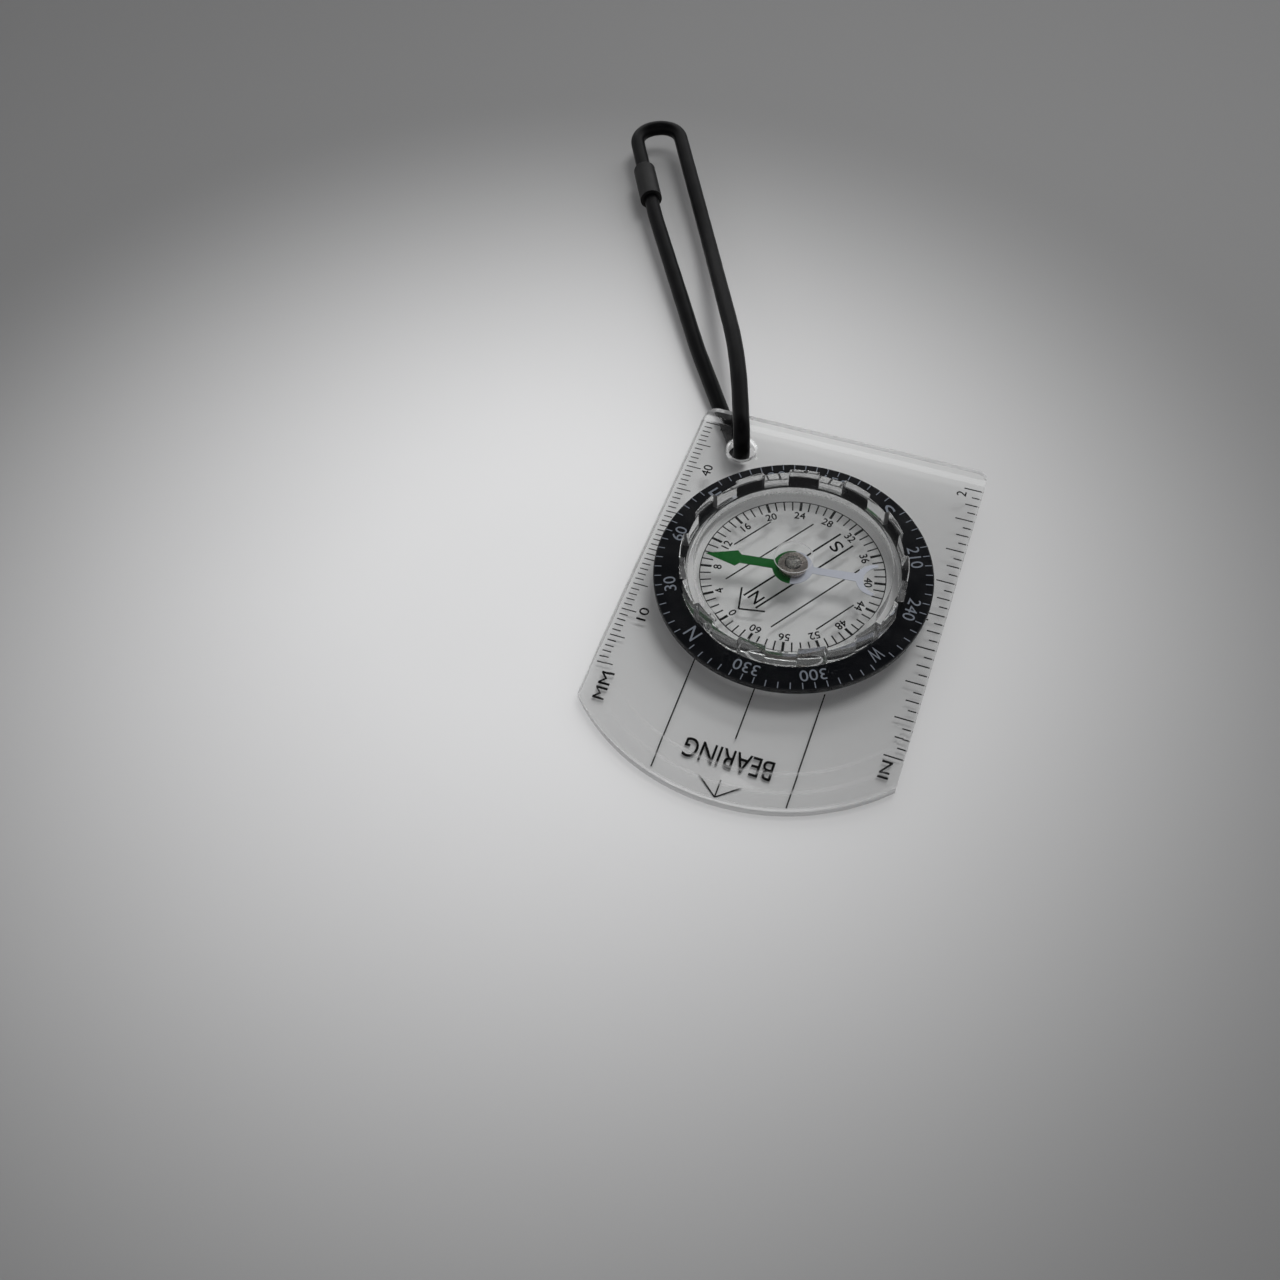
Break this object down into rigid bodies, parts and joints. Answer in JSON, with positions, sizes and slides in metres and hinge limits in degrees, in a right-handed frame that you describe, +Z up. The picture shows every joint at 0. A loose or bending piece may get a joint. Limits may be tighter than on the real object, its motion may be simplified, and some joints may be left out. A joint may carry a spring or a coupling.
{
  "type": "baseplate compass",
  "caption": "Clear baseplate compass with a turning liquid capsule, black degree ring, two-colour needle, printed rulers and a round neck cord.",
  "frame": {"origin": "on the capsule's turning axis, level with the underside of the plate", "axes": "+Z up out of the plate, +Y the direction of travel towards the arc end, +X towards the millimetre edge"},
  "size_m": [0.0875, 0.1445, 0.0114],
  "materials": {
    "plate_acrylic": "clear polished acrylic",
    "capsule_plastic": "clear moulded plastic",
    "ring_plastic": "satin black moulded plastic with pale grey print",
    "pin_steel": "ground steel",
    "needle_paint": "green paint on the north half, pale paint on the south half",
    "hub_metal": "bright plated metal",
    "jewel_glass": "polished",
    "cord_rubber": "smooth matt black",
    "joiner_plastic": "moulded black plastic"
  },
  "bodies": {
    "plate": {"baseplate": "plate_acrylic", "neck_cord": "cord_rubber", "cord_joiner": "joiner_plastic"},
    "dial": {"capsule_lens": "capsule_plastic", "dial_floor": "capsule_plastic", "bezel_ring": "ring_plastic", "retaining_ring": "capsule_plastic", "filler_plug": "capsule_plastic", "pivot_pin": "pin_steel"},
    "needle": {"needle_blade": "needle_paint", "hub_cap": "hub_metal", "bearing_jewel": "jewel_glass"}
  },
  "joints": [
    {"name": "dial_turn", "type": "hinge", "parent": "plate", "child": "dial", "pos_m": [0, 0, 0.002], "axis": [0, 0, 1], "continuous": true},
    {"name": "needle_swing", "type": "hinge", "parent": "dial", "child": "needle", "pos_m": [0, 0, 0.0049], "axis": [0, 0, 1], "continuous": true}
  ]
}
